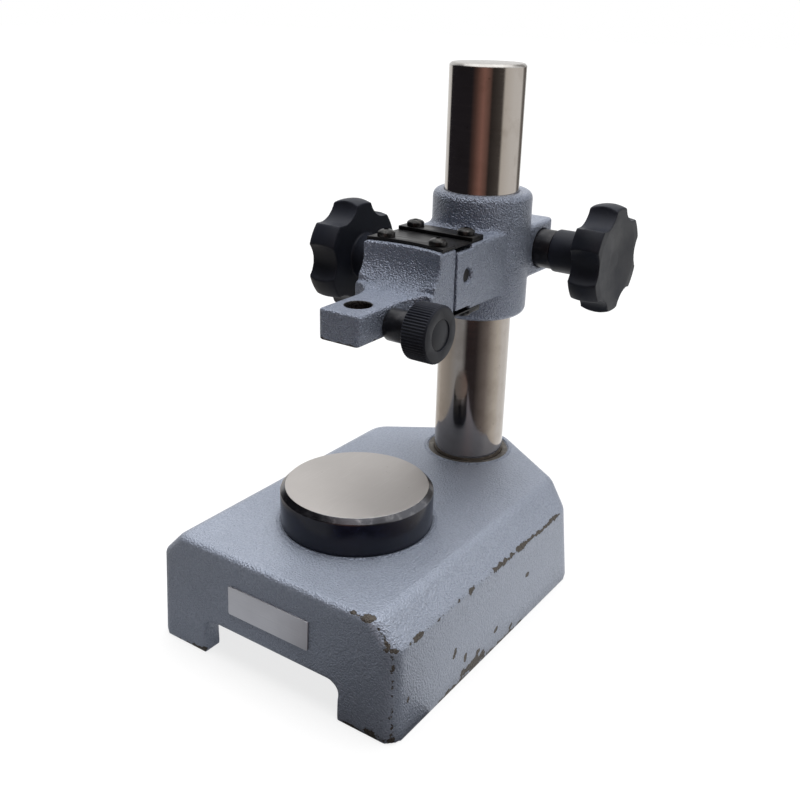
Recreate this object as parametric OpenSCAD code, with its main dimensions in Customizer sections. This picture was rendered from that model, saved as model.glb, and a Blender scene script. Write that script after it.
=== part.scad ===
// Comparator stand: a cast base with a round anvil, a steel column, a bracket that slides on it,
// and a spring-hung holder with fine adjustment for the stem of an indicator.
// Millimetres. The bench is at z = 0 and the anvil's axis is the z axis, with the column behind it.

/* [Base] */
// Width of the base at the bench
base_w = 110; // [106:0.5:120]
// Height of the base's top face
base_h = 45; // [43:0.5:50]
// Front face ahead of the anvil's axis, at the bench
base_front = 52.6; // [50:0.2:60]
// Lean of the front face over the full height
front_lean = 2; // [0.5:0.1:3]
// Height of the bevel along each side
bevel_h = 9.5; // [6:0.5:12]
// Width of the bevel along each side
bevel_w = 9; // [4:0.2:10]
// Thickness of the casting's walls
base_wall = 8; // [6:0.5:10]
// Thickness of the casting's top
base_roof = 12; // [9:0.5:14]
// Width of the opening under the front edge
notch_w = 62.5; // [40:0.5:70]
// Height of the opening under the front edge
notch_h = 14.5; // [8:0.5:18]

/* [Name plate] */
// Width of the plate
plate_w = 37; // [24:0.5:50]
// Height of the plate
plate_h = 11.5; // [8:0.5:13]
// Thickness of the plate
plate_t = 0.6; // [0.4:0.1:1.2]

/* [Anvil] */
// Diameter of the anvil
anvil_d = 58; // [50:0.5:60]
// Height of the anvil above the base
anvil_h = 15; // [12:0.5:18]
// Bevel round the anvil's face
anvil_bevel = 1.9; // [1:0.1:2.5]

/* [Column] */
// Diameter of the column
column_d = 30; // [28:0.5:31]
// Height of the column's top above the bench
column_top = 207.5; // [195:0.5:240]
// Distance from the anvil's axis back to the column's axis
column_y = 82; // [80:0.5:86]

/* [Bracket] */
// Height of the bracket's clamp and fine adjustment axes above the bench
bracket_z = 134; // [126:0.5:150]
// Wall of the sleeve round the column
sleeve_wall = 5.2; // [4.8:0.1:6]
// Length of the sleeve
sleeve_h = 50.5; // [46:0.5:56]
// Width of the block in front of the sleeve
block_w = 35.2; // [34:0.2:38]
// Front face of the block ahead of the column's axis
block_reach = 45; // [44:0.2:47]
// Top seat of the block above the axes
block_rise = 11.7; // [11:0.1:13]
// Bottom seat of the block below the axes
block_drop = 14; // [12.5:0.1:15]

/* [Column clamp] */
// Diameter of the draw cotters
cotter_d = 16; // [14:0.5:17]
// Half width of the clamp block behind the sleeve
clamp_reach = 18.2; // [17:0.1:20]
// Length of the cotter's collar outside the clamp block
collar_l = 7.1; // [5:0.1:9]
// Diameter of the clamp screw
clamp_screw_d = 6; // [5:0.5:6]

/* [Star knobs] */
// Diameter over the lobes
knob_d = 44; // [40:0.5:46]
// Thickness of the rim
knob_rim = 12; // [10:0.5:14]
// Diameter of the hub
hub_d = 17.6; // [16:0.1:19]
// Length of the hub behind the clamp knob's rim
clamp_hub_l = 14.6; // [10:0.1:17]
// Length of the hub behind the fine adjustment knob's rim
fine_hub_l = 13; // [10:0.1:15]

/* [Fine adjustment] */
// Diameter of the shaft
fine_shaft_d = 5; // [4.5:0.1:5.4]
// Diameter of the eccentric
eccentric_d = 7.6; // [7.4:0.1:7.8]
// Offset of the eccentric
eccentric_off = 0.5; // [0.3:0.05:0.6]
// Axis of the shaft ahead of the column's axis
fine_reach = 37.2; // [36.8:0.1:37.6]

/* [Leaf springs] */
// Thickness of each leaf
leaf_t = 0.5; // [0.3:0.1:0.8]
// Width of each leaf
leaf_w = 33.6; // [32:0.2:34]
// Thickness of the strips on the bracket
bracket_strip_t = 1.4; // [1:0.1:2]
// Thickness of the strips on the holder
holder_strip_t = 0.8; // [0.6:0.1:1.2]
// Depth of the relief under the free length of each leaf
relief = 1.8; // [1:0.1:2]
// Distance between the two screws of a row
leaf_screw_span = 23; // [20:0.5:25]
// Diameter of the leaf screws
leaf_screw_d = 3; // [2.5:0.1:3.2]
// Diameter of their heads
leaf_head_d = 6.8; // [5.5:0.1:7]

/* [Holder] */
// Gap between the bracket and the holder
holder_gap = 0.6; // [0.5:0.1:1]
// How much narrower than the bracket's block the holder's block is
holder_inset = 0.8; // [0.4:0.2:1.6]
// Height of the arm
arm_h = 11.5; // [11:0.1:13]
// Width of the arm
arm_w = 18; // [16:0.1:19]
// Middle of the arm below the bracket's axes
arm_drop = 9.8; // [9.4:0.1:10.2]
// Axis of the indicator clamp below the middle of the arm
gauge_drop = 1.4; // [0.8:0.1:1.5]
// Front end of the arm ahead of the stem's axis
arm_end = 11.7; // [9:0.1:14]
// Diameter of the indicator's stem (three eighths of an inch)
stem_d = 9.53; // [8:0.01:10]

/* [Indicator clamp] */
// Diameter of the draw cotter in the arm
gauge_cotter_d = 6.8; // [6:0.1:7]
// Diameter of the cotter's collar
gauge_collar_d = 12; // [10:0.1:13]
// Length of the collar
gauge_collar_l = 9.9; // [9.5:0.1:13]
// Diameter of the knurled knob
gauge_knob_d = 21; // [18:0.5:23]
// Thickness of the knurled knob
gauge_knob_t = 10.2; // [8:0.2:11]
// Number of grooves round the knob
knurl_count = 60; // [48:2:72]

/* [Hidden] */
$fn = 64;

// Fits
running_gap = 0.05;
thread_gap = 0.05;
joint_gap = 0.3;
bolt_gap = 0.4;
over = 1;

// Colours
enamel = [0.48, 0.52, 0.6];
black = [0.07, 0.07, 0.08];
steel = [0.62, 0.6, 0.57];
dark_steel = [0.2, 0.19, 0.18];
aluminium = [0.78, 0.78, 0.78];
bronze = [0.6, 0.45, 0.25];

// Base
side_lean = 0.9;
shoulder_z = base_h - bevel_h;
cut_slope = 0.7;
cut_length = norm([1, cut_slope]);
cut_reach = 35.1;
cut_apex = column_y + cut_reach;
cut_lean = 8.9;
rear_reach = 23.5;
base_rear = column_y + rear_reach;
rear_lean = 2.5;
front_corner_r = 5.5;
cut_corner_r = 8;
rear_corner_r = 9;
top_edge = 1.8;
slice = 0.02;
edge_turn = 0.4;
edge_turn_in = 0.25;
roof_z = base_h - base_roof;
notch_r = 4.5;
hollow_side = base_w / 2 - base_wall - side_lean;
hollow_front = base_front - base_wall;
hollow_cut = cut_apex - cut_lean - base_wall * cut_length;
socket_floor = 22;
boss_floor = 14;
boss_wall = 6;
boss_r = column_d / 2 + boss_wall;
spot_margin = 2.8;
spot_r = column_d / 2 + spot_margin;
spot_depth = 0.4;

// Name plate
plate_z = 28.4;
plate_corner_r = 0.8;

// Anvil screw and its boss
anvil_screw_d = 6;
anvil_screw_grip = 9;
anvil_head_d = 10;
anvil_key = 5;
anvil_boss_r = 11;
anvil_boss_l = 6;
anvil_boss_z = roof_z - anvil_boss_l;
washer_t = 1.6;
column_washer_t = 3.2;
anvil_washer_r = 6;

// Column bolt
column_bolt_d = 10;
column_bolt_grip = 18;
column_bolt_af = 16;
column_head_h = 6.4;
column_hole_spare = 4;
column_edge = 1;
column_washer_r = 10;
bolt_room = 2;
hex_corner = 1 / cos(30);

// Bracket
column_bore_r = column_d / 2 + running_gap;
sleeve_r = column_d / 2 + sleeve_wall;
sleeve_z = bracket_z - sleeve_h / 2;
sleeve_back = 1.2;
sleeve_edge = 3;
block_top = bracket_z + block_rise;
block_bottom = bracket_z - block_drop;
block_edge = 1.6;
shelf_fillet = 2.5;

// Column clamp: the cotters bite into the column's bore from behind
cotter_r = cotter_d / 2;
cotter_bite = 1.8;
cotter_y = column_d / 2 + cotter_r - cotter_bite;
cotter_gap = 2;
clamp_wall = 3;
clamp_half_h = cotter_r + clamp_wall;
clamp_rear_wall = 4.2;
clamp_rear = cotter_y + cotter_r + clamp_rear_wall;
clamp_edge = 2;
clamp_corner_r = 6;
clamp_knob_x = clamp_reach + collar_l + joint_gap;
clamp_screw_r = clamp_screw_d / 2;

// Star knobs: a barrel-shaped rim with six round hollows cut into it, and a shallow dish in the face
knob_lobes = 6;
lobe_step = 360 / knob_lobes;
valley_share = 0.4;
hollow_share = 0.216;
valley_r = knob_d * valley_share;
hollow_r = knob_d * hollow_share;
hollow_at = valley_r + hollow_r;
barrel_r = 15.5;
dish = 1.3;
dish_share = 0.385;
dish_r = knob_d * dish_share;
dish_floor_r = 4;
knob_face_t = 5;
hub_inside = knob_rim - knob_face_t;

// Fine adjustment
fine_y = -fine_reach;
fine_shaft_r = fine_shaft_d / 2;
eccentric_r = eccentric_d / 2;
eccentric_l = 9;
bush_room = 0.4;
bush_r = eccentric_r + eccentric_off + bush_room;
pocket_w = 16;
pocket_room = 1.2;
pocket_low = eccentric_r + eccentric_off + pocket_room;
cam_gap = 0.15;
tongue_w = 10;
tongue_t = 2.5;
tongue_reach = 33;
pocket_high = eccentric_r + cam_gap + tongue_t + eccentric_off + joint_gap;
pocket_back = fine_reach - eccentric_r - eccentric_off - pocket_room;
fine_knob_x = -(block_w / 2 + joint_gap + fine_hub_l);
shaft_recess = 1.2;
shaft_mouth = 0.6;
set_screw_d = 3;
set_screw_key = 1.5;
set_screw_recess = 0.5;
set_screw_web = 2;

// Leaf springs
strip_back = 26;
strip_front = 34;
holder_back = block_reach + holder_gap;
bracket_screw_at = (strip_back + strip_front) / 2;
holder_strip_back = holder_back + joint_gap;
holder_screw_inset = 4;
holder_screw_at = holder_back + holder_screw_inset;
leaf_screw_r = leaf_screw_d / 2;
leaf_hole_gap = 0.15;
leaf_hole_r = leaf_screw_r + leaf_hole_gap;
leaf_screw_l = 7;
leaf_head_h = 2.6;
leaf_head_edge = 0.9;
leaf_key = 1.9;
leaf_key_depth = 1.3;

// Holder
stem_r = stem_d / 2;
arm_z = bracket_z - arm_drop;
arm_top = arm_z + arm_h / 2;
arm_bottom = arm_z - arm_h / 2;
arm_front = column_y + arm_end;
arm_edge = 1.4;
arm_corner_r = 2.2;
holder_w = block_w - holder_inset;
scoop_r = 52;
scoop_wall = 8;
scoop_at = holder_back + scoop_wall;
scoop_fillet = 11.5;
holder_l = 16.2;
holder_front = holder_back + holder_l;
keel_l = 6.3;
keel_back = holder_front - keel_l;
lip_edge = 2.2;
scoop_end = scoop_at + scoop_fillet;
root_rise = scoop_fillet - sqrt(pow(scoop_fillet, 2) - pow(scoop_end - holder_front + lip_edge, 2));
root_h = arm_h + root_rise;
root_z = arm_z + root_rise / 2;
web_r = 7.5;
lip_gap = 1.8;
holder_edge = 1.2;

// Indicator clamp
gauge_cotter_r = gauge_cotter_d / 2;
gauge_bite = 0.6;
gauge_at = column_y - stem_r - gauge_cotter_r + gauge_bite;
gauge_z = arm_z - gauge_drop;
gauge_gap = 0.8;
gauge_collar_x = arm_w / 2 + joint_gap;
gauge_knob_x = gauge_collar_x + gauge_collar_l + joint_gap;
gauge_screw_r = 2;
knurl_depth = 0.45;
knurl_step = 360 / knurl_count;
gauge_knob_edge = 0.8;
gauge_face_r = gauge_knob_d / 2 - gauge_knob_edge;
cap_share = 0.27;
cap_r = gauge_knob_d * cap_share;
cap_t = 1;
cap_sunk = 0.3;

// Half width of the base at height z
function side_x(z) = z <= shoulder_z
    ? base_w / 2 - side_lean * z / shoulder_z
    : base_w / 2 - side_lean - bevel_w * (z - shoulder_z) / bevel_h;

// Front face of the base at height z
function front_y(z) = -base_front + front_lean * z / base_h;

// Centres and radii of the rounded corners of the right half of the base at height z
function base_corners(z) = [
    [side_x(z) - front_corner_r, front_y(z) + front_corner_r, front_corner_r],
    [side_x(z) - cut_corner_r,
        cut_at(z) - cut_slope * (side_x(z) - cut_corner_r) - cut_length * cut_corner_r, cut_corner_r],
    [(cut_at(z) - rear_at(z) + rear_corner_r - cut_length * rear_corner_r) / cut_slope,
        rear_at(z) - rear_corner_r, rear_corner_r]];

// Point on the middle line where the two rear cuts would meet at height z
function cut_at(z) = cut_apex - cut_lean * z / base_h;

// Rear face of the base at height z
function rear_at(z) = base_rear - rear_lean * z / base_h;

// Rectangle with round corners, about its middle
module rounded_bar(w, h, r) {
    square([w - 2 * r, h], center = true);
    square([w, h - 2 * r], center = true);
    for (x = [-1, 1], y = [-1, 1])
        translate([x * (w / 2 - r), y * (h / 2 - r)])
            circle(r = r);
}

// Turns a shape drawn along z so that it lies along x
module along_x() {
    rotate([0, 90, 0])
        children();
}

// Turns a section drawn in x and y into a bar that runs forward from the column's axis
module bar_forward(from, to) {
    translate([0, -from, 0])
        rotate([90, 0, 0])
            linear_extrude(to - from)
                children();
}

// Places a piece of the bracket or the holder, drawn about the column's axis
module on_column() {
    translate([0, column_y, 0])
        children();
}

// Outside of the base casting: thin rounded slices joined into one skin
module base_skin() {
    hull()
        for (z = [[0, 0], [shoulder_z, 0], [base_h - top_edge, 0],
                [base_h - edge_turn * top_edge, edge_turn_in], [base_h - slice, 1]],
                c = base_corners(z[0]), side = [-1, 1])
            translate([side * c[0], c[1], z[0]])
                cylinder(r = c[2] - z[1] * top_edge, h = slice, $fn = 32);
}

// Hollow under the base
module base_hollow() {
    translate([0, 0, -over])
        linear_extrude(roof_z + over)
            polygon([[-hollow_side, -hollow_front], [hollow_side, -hollow_front],
                [hollow_side, hollow_cut - cut_slope * hollow_side],
                [(hollow_cut - column_y) / cut_slope, column_y],
                [-(hollow_cut - column_y) / cut_slope, column_y],
                [-hollow_side, hollow_cut - cut_slope * hollow_side]]);
}

// Opening under the front edge
module front_notch() {
    translate([0, -hollow_front + over, 0])
        rotate([90, 0, 0])
            linear_extrude(base_wall + 2 * over) {
                translate([0, notch_h / 2 - notch_r])
                    rounded_bar(notch_w, notch_h + 2 * notch_r, notch_r);
            }
}

module base_casting() {
    color(enamel)
        difference() {
            union() {
                difference() {
                    base_skin();
                    base_hollow();
                }
                translate([0, column_y, boss_floor])
                    cylinder(r = boss_r, h = roof_z - boss_floor + over);
                translate([0, 0, anvil_boss_z])
                    cylinder(r = anvil_boss_r, h = roof_z - anvil_boss_z + over);
            }
            front_notch();
            translate([0, column_y, socket_floor])
                cylinder(r = column_bore_r, h = base_h);
            translate([0, column_y, base_h - spot_depth])
                cylinder(r = spot_r, h = over);
            translate([0, column_y, 0])
                cylinder(r = column_bolt_d / 2 + bolt_gap, h = base_h);
            translate([0, column_y, -over])
                cylinder(r = column_washer_r + bolt_room, h = boss_floor + over);
            cylinder(r = anvil_screw_d / 2 + bolt_gap, h = base_h + over);
        }
}

module name_plate() {
    color(aluminium)
        translate([0, front_y(plate_z - slice), plate_z])
            rotate([90 - atan(front_lean / base_h), 0, 0])
                linear_extrude(plate_t)
                    rounded_bar(plate_w, plate_h, plate_corner_r);
}

module anvil() {
    color(steel)
        translate([0, 0, base_h])
            difference() {
                union() {
                    cylinder(d = anvil_d, h = anvil_h - anvil_bevel);
                    translate([0, 0, anvil_h - anvil_bevel])
                        cylinder(d1 = anvil_d, d2 = anvil_d - 2 * anvil_bevel, h = anvil_bevel);
                }
                translate([0, 0, -over])
                    cylinder(r = anvil_screw_d / 2 + thread_gap, h = anvil_screw_grip + 2 * over);
            }
}

module anvil_screw() {
    color(dark_steel)
        translate([0, 0, anvil_boss_z - washer_t])
            difference() {
                union() {
                    cylinder(d = anvil_screw_d, h = base_h + anvil_screw_grip - anvil_boss_z + washer_t);
                    translate([0, 0, -anvil_screw_d])
                        cylinder(d = anvil_head_d, h = anvil_screw_d);
                }
                translate([0, 0, -anvil_screw_d - over])
                    cylinder(d = anvil_key * hex_corner, h = anvil_screw_d / 2 + over, $fn = 6);
            }
}

module anvil_washer() {
    color(dark_steel)
        translate([0, 0, anvil_boss_z - washer_t])
            difference() {
                cylinder(r = anvil_washer_r, h = washer_t);
                translate([0, 0, -over])
                    cylinder(r = anvil_screw_d / 2 + bolt_gap, h = washer_t + 2 * over);
            }
}

module column() {
    foot = socket_floor + joint_gap;
    color(steel)
        on_column()
            difference() {
                union() {
                    translate([0, 0, foot])
                        cylinder(d = column_d, h = column_top - column_edge - foot);
                    translate([0, 0, column_top - column_edge])
                        cylinder(d1 = column_d, d2 = column_d - 2 * column_edge, h = column_edge);
                }
                translate([0, 0, foot - over])
                    cylinder(r = column_bolt_d / 2 + thread_gap, h = column_bolt_grip + column_hole_spare);
            }
}

module column_bolt() {
    seat = boss_floor - joint_gap - column_washer_t;
    color(dark_steel)
        on_column() {
            translate([0, 0, seat])
                cylinder(d = column_bolt_d, h = socket_floor + column_bolt_grip - seat);
            translate([0, 0, seat - column_head_h])
                cylinder(d = column_bolt_af * hex_corner, h = column_head_h, $fn = 6);
        }
}

module column_washer() {
    color(dark_steel)
        on_column()
            translate([0, 0, boss_floor - joint_gap - column_washer_t])
                difference() {
                    cylinder(r = column_washer_r, h = column_washer_t);
                    translate([0, 0, -over])
                        cylinder(r = column_bolt_d / 2 + bolt_gap, h = column_washer_t + 2 * over);
                }
}

// Sleeve round the column, with rounded rims
module bracket_sleeve() {
    translate([0, sleeve_back, sleeve_z])
        rotate_extrude() {
            square([sleeve_r - sleeve_edge, sleeve_h]);
            translate([0, sleeve_edge])
                square([sleeve_r, sleeve_h - 2 * sleeve_edge]);
            for (z = [sleeve_edge, sleeve_h - sleeve_edge])
                translate([sleeve_r - sleeve_edge, z])
                    circle(r = sleeve_edge);
        }
}

// Block in front of the sleeve that carries the leaves
module bracket_block() {
    bar_forward(0, block_reach)
        translate([0, (block_top + block_bottom) / 2])
            rounded_bar(block_w, block_top - block_bottom, block_edge);
}

// Hollow curve between the sleeve and the block's top
module shelf_curve() {
    intersection() {
        translate([0, sleeve_back, block_top])
            rotate_extrude()
                translate([sleeve_r - over, -over])
                    difference() {
                        square(shelf_fillet + over);
                        translate([shelf_fillet + over, shelf_fillet + over])
                            circle(r = shelf_fillet);
                    }
        bar_forward(0, block_reach)
            translate([0, block_top])
                square([block_w - 2 * block_edge, 4 * shelf_fillet], center = true);
    }
}

// Block behind the sleeve that holds the cotters, with round rear corners
module clamp_block() {
    intersection() {
        bar_forward(-clamp_rear, 0)
            translate([0, bracket_z])
                rounded_bar(2 * clamp_reach, 2 * clamp_half_h, clamp_edge);
        translate([0, 0, bracket_z - clamp_half_h])
            linear_extrude(2 * clamp_half_h)
                rounded_bar(2 * clamp_reach, 2 * clamp_rear, clamp_corner_r);
        translate([-clamp_reach, 0, bracket_z])
            along_x()
                linear_extrude(2 * clamp_reach)
                    rounded_bar(2 * clamp_half_h, 2 * clamp_rear, clamp_edge);
    }
}

// Space in the block for the eccentric and the holder's tongue
module cam_pocket() {
    translate([-pocket_w / 2, -block_reach - over, bracket_z - pocket_low])
        cube([pocket_w, block_reach + over - pocket_back, pocket_low + pocket_high]);
}

// Screw holes of one row, along z
module leaf_screw_holes(at, z, depth, r) {
    for (side = [-1, 1])
        translate([side * leaf_screw_span / 2, -at, z])
            cylinder(r = r, h = depth);
}

module bracket_casting() {
    color(enamel)
        on_column()
            difference() {
                union() {
                    bracket_sleeve();
                    bracket_block();
                    shelf_curve();
                    clamp_block();
                }
                translate([0, 0, sleeve_z - over])
                    cylinder(r = column_bore_r, h = sleeve_h + 2 * over);
                translate([-clamp_reach - over, cotter_y, bracket_z])
                    along_x()
                        cylinder(r = cotter_r + running_gap, h = 2 * (clamp_reach + over));
                cam_pocket();
                translate([0, fine_y, bracket_z])
                    along_x()
                        cylinder(r = fine_shaft_r + running_gap, h = block_w);
                translate([-block_w, fine_y, bracket_z])
                    along_x()
                        cylinder(r = bush_r, h = block_w);
                translate([block_w / 2 - shaft_recess, fine_y, bracket_z])
                    along_x()
                        cylinder(r = fine_shaft_r + shaft_mouth, h = block_w);
                for (z = [block_bottom - over, block_top - relief])
                    translate([-block_w, -block_reach - over, z])
                        cube([2 * block_w, block_reach + over - strip_front, relief + over]);
                leaf_screw_holes(bracket_screw_at, block_top - leaf_screw_l - over,
                    leaf_screw_l + 2 * over, leaf_screw_r + thread_gap);
                leaf_screw_holes(bracket_screw_at, block_bottom - over,
                    leaf_screw_l + 2 * over, leaf_screw_r + thread_gap);
            }
}

// Cotter for one side: a round bar hollowed to the column, from x = cotter_gap / 2 outwards
module column_cotter(length) {
    difference() {
        translate([cotter_gap / 2, cotter_y, bracket_z])
            along_x()
                cylinder(r = cotter_r, h = length - cotter_gap / 2);
        translate([0, 0, bracket_z - cotter_d])
            cylinder(r = column_bore_r, h = 2 * cotter_d);
        translate([0, cotter_y, bracket_z])
            along_x()
                cylinder(r = clamp_screw_r + running_gap, h = length + over);
    }
}

module left_cotter() {
    color(dark_steel)
        on_column()
            mirror([1, 0, 0])
                column_cotter(clamp_reach);
}

module clamp_collar() {
    color(dark_steel)
        on_column()
            column_cotter(clamp_reach + collar_l);
}

module clamp_screw() {
    start = over - clamp_reach;
    color(dark_steel)
        on_column()
            translate([start, cotter_y, bracket_z])
                along_x()
                    cylinder(r = clamp_screw_r, h = clamp_knob_x + clamp_hub_l + hub_inside - start);
}

// Star knob along z: the hub starts at z = 0 and the rim lies beyond it
module star_knob(hub_l, bore_r) {
    difference() {
        union() {
            cylinder(d = hub_d, h = hub_l + over);
            translate([0, 0, hub_l])
                rotate_extrude()
                    intersection() {
                        square([knob_d / 2, knob_rim]);
                        translate([knob_d / 2 - barrel_r, knob_rim / 2])
                            circle(r = barrel_r, $fn = 128);
                    }
        }
        for (i = [0:knob_lobes - 1])
            rotate((i + 0.5) * lobe_step)
                translate([hollow_at, 0, hub_l - over])
                    cylinder(r = hollow_r, h = knob_rim + 2 * over);
        translate([0, 0, hub_l + knob_rim - dish])
            cylinder(r1 = dish_floor_r, r2 = dish_r + (dish_r - dish_floor_r) * over / dish, h = dish + over);
        translate([0, 0, -over])
            cylinder(r = bore_r, h = hub_l + hub_inside + over);
    }
}

module clamp_knob() {
    color(black)
        on_column()
            translate([clamp_knob_x, cotter_y, bracket_z])
                along_x()
                    star_knob(clamp_hub_l, clamp_screw_r);
}

module fine_bush() {
    color(bronze)
        on_column()
            translate([-block_w / 2, fine_y, bracket_z])
                along_x()
                    difference() {
                        cylinder(r = bush_r, h = (block_w - pocket_w) / 2);
                        translate([0, 0, -over])
                            cylinder(r = fine_shaft_r + running_gap, h = block_w / 2);
                    }
}

module fine_shaft() {
    start = fine_knob_x - hub_inside;
    color(dark_steel)
        on_column()
            translate([0, fine_y, bracket_z]) {
                translate([start, 0, 0])
                    along_x()
                        cylinder(r = fine_shaft_r, h = block_w / 2 - shaft_recess - start);
                translate([-eccentric_l / 2, eccentric_off, 0])
                    along_x()
                        cylinder(r = eccentric_r, h = eccentric_l);
            }
}

module fine_knob() {
    color(black)
        on_column()
            difference() {
                translate([fine_knob_x + fine_hub_l, fine_y, bracket_z])
                    rotate([0, -90, 0])
                        star_knob(fine_hub_l, fine_shaft_r);
                translate([fine_knob_x + fine_hub_l / 2, fine_y, bracket_z])
                    cylinder(d = set_screw_d, h = hub_d);
            }
}

module fine_set_screw() {
    color(dark_steel)
        on_column()
            translate([fine_knob_x + fine_hub_l / 2, fine_y, bracket_z + fine_shaft_r])
                difference() {
                    cylinder(d = set_screw_d, h = hub_d / 2 - fine_shaft_r - set_screw_recess);
                    translate([0, 0, set_screw_web])
                        cylinder(d = set_screw_key * hex_corner, h = hub_d, $fn = 6);
                }
}

// Plan of a leaf or strip between two distances ahead of the column's axis, kept behind the scoop's lip
module leaf_plan(from, to) {
    difference() {
        translate([-leaf_w / 2, -to])
            square([leaf_w, to - from]);
        translate([0, -(scoop_at - lip_gap + scoop_r)])
            circle(r = scoop_r, $fn = 128);
        for (side = [-1, 1], at = [bracket_screw_at, holder_screw_at])
            translate([side * leaf_screw_span / 2, -at])
                circle(r = leaf_hole_r);
    }
}

module top_leaf() {
    color(black)
        on_column()
            translate([0, 0, block_top])
                linear_extrude(leaf_t)
                    leaf_plan(strip_back, holder_front);
}

module bottom_leaf() {
    color(black)
        on_column()
            translate([0, 0, block_bottom - leaf_t])
                linear_extrude(leaf_t)
                    leaf_plan(strip_back, keel_back - joint_gap);
}

module bracket_top_strip() {
    color(black)
        on_column()
            translate([0, 0, block_top + leaf_t])
                linear_extrude(bracket_strip_t)
                    leaf_plan(strip_back, strip_front);
}

module bracket_bottom_strip() {
    color(black)
        on_column()
            translate([0, 0, block_bottom - leaf_t - bracket_strip_t])
                linear_extrude(bracket_strip_t)
                    leaf_plan(strip_back, strip_front);
}

// Leaf screw along z with its head on top and its seat at z = 0
module leaf_screw(under) {
    difference() {
        union() {
            translate([0, 0, -under])
                cylinder(r = leaf_screw_r, h = under);
            rotate_extrude() {
                square([leaf_head_d / 2 - leaf_head_edge, leaf_head_h]);
                square([leaf_head_d / 2, leaf_head_h - leaf_head_edge]);
                translate([leaf_head_d / 2 - leaf_head_edge, leaf_head_h - leaf_head_edge])
                    circle(r = leaf_head_edge);
            }
        }
        translate([0, 0, leaf_head_h - leaf_key_depth])
            cylinder(d = leaf_key * hex_corner, h = leaf_head_h, $fn = 6);
    }
}

// Two screws of a row on the top leaf and two on the bottom leaf
module leaf_screw_rows(at, strip_t) {
    for (side = [-1, 1])
        translate([side * leaf_screw_span / 2, -at, 0]) {
            translate([0, 0, block_top + leaf_t + strip_t])
                leaf_screw(leaf_screw_l + leaf_t + strip_t);
            translate([0, 0, block_bottom - leaf_t - strip_t])
                mirror([0, 0, 1])
                    leaf_screw(leaf_screw_l + leaf_t + strip_t);
        }
}

module bracket_leaf_screws() {
    color(dark_steel)
        on_column()
            leaf_screw_rows(bracket_screw_at, bracket_strip_t);
}

// Block of the holder, before its front is scooped out
module holder_block() {
    bar_forward(holder_back, holder_front - lip_edge)
        translate([0, (block_top + block_bottom) / 2])
            rounded_bar(holder_w, block_top - block_bottom, holder_edge);
    intersection() {
        bar_forward(keel_back - over, holder_front)
            translate([0, root_z])
                rounded_bar(holder_w, root_h, holder_edge);
        translate([-holder_w / 2, -(holder_front + keel_back) / 2, root_z])
            along_x()
                linear_extrude(holder_w)
                    rounded_bar(root_h, holder_front - keel_back, lip_edge);
    }
}

// Arm that carries the stem
module holder_arm() {
    intersection() {
        bar_forward(keel_back, arm_front)
            translate([0, arm_z])
                rounded_bar(arm_w, arm_h, arm_edge);
        translate([0, 0, arm_bottom - over])
            linear_extrude(arm_h + 2 * over)
                translate([0, -(arm_front + keel_back) / 2])
                    rounded_bar(arm_w, arm_front - keel_back, arm_corner_r);
    }
}

// Root of the arm, as high as the foot of the scoop
module arm_root() {
    bar_forward(keel_back, scoop_end)
        translate([0, root_z])
            rounded_bar(arm_w, root_h, arm_edge);
}

// Curved web between the block's front and one side of the arm
module arm_web() {
    translate([0, 0, arm_bottom])
        linear_extrude(root_h)
            difference() {
                translate([arm_w / 2 - over, -holder_front - web_r])
                    square(web_r + over);
                translate([arm_w / 2 + web_r, -holder_front - web_r])
                    circle(r = web_r);
            }
}

// Round-nosed hollow over the arm
module holder_scoop() {
    translate([0, -(scoop_at + scoop_r), arm_top])
        rotate_extrude($fn = 128) {
            square([scoop_r - scoop_fillet, 2 * block_drop]);
            translate([0, scoop_fillet])
                square([scoop_r, 2 * block_drop]);
            translate([scoop_r - scoop_fillet, scoop_fillet])
                circle(r = scoop_fillet, $fn = 64);
        }
}

module holder_casting() {
    color(enamel)
        on_column()
            difference() {
                union() {
                    difference() {
                        union() {
                            holder_block();
                            holder_arm();
                            arm_root();
                            arm_web();
                            mirror([1, 0, 0])
                                arm_web();
                        }
                        holder_scoop();
                    }
                    translate([-tongue_w / 2, -holder_back - over, bracket_z + eccentric_r + cam_gap])
                        cube([tongue_w, holder_back + over - tongue_reach, tongue_t]);
                }
                translate([0, -column_y, arm_bottom - over])
                    cylinder(r = stem_r, h = arm_h + 2 * over);
                translate([-holder_w, -gauge_at, gauge_z])
                    along_x()
                        cylinder(r = gauge_cotter_r + running_gap, h = 2 * holder_w);
                leaf_screw_holes(holder_screw_at, block_top - leaf_screw_l - over,
                    leaf_screw_l + 2 * over, leaf_screw_r + thread_gap);
                leaf_screw_holes(holder_screw_at, block_bottom - over,
                    leaf_screw_l + 2 * over, leaf_screw_r + thread_gap);
            }
}

module holder_top_strip() {
    color(black)
        on_column()
            translate([0, 0, block_top + leaf_t])
                linear_extrude(holder_strip_t)
                    leaf_plan(holder_strip_back, holder_front);
}

module holder_bottom_strip() {
    color(black)
        on_column()
            translate([0, 0, block_bottom - leaf_t - holder_strip_t])
                linear_extrude(holder_strip_t)
                    leaf_plan(holder_strip_back, keel_back - joint_gap);
}

module holder_leaf_screws() {
    color(dark_steel)
        on_column()
            leaf_screw_rows(holder_screw_at, holder_strip_t);
}

// Cotter bar in the arm, hollowed to the stem, from x = gauge_gap / 2 outwards
module stem_cotter(length) {
    difference() {
        translate([gauge_gap / 2, -gauge_at, gauge_z])
            along_x()
                cylinder(r = gauge_cotter_r, h = length - gauge_gap / 2);
        translate([0, -column_y, gauge_z - gauge_cotter_d])
            cylinder(r = stem_r, h = 2 * gauge_cotter_d);
        translate([0, -gauge_at, gauge_z])
            along_x()
                cylinder(r = gauge_screw_r + running_gap, h = length + over);
    }
}

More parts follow.
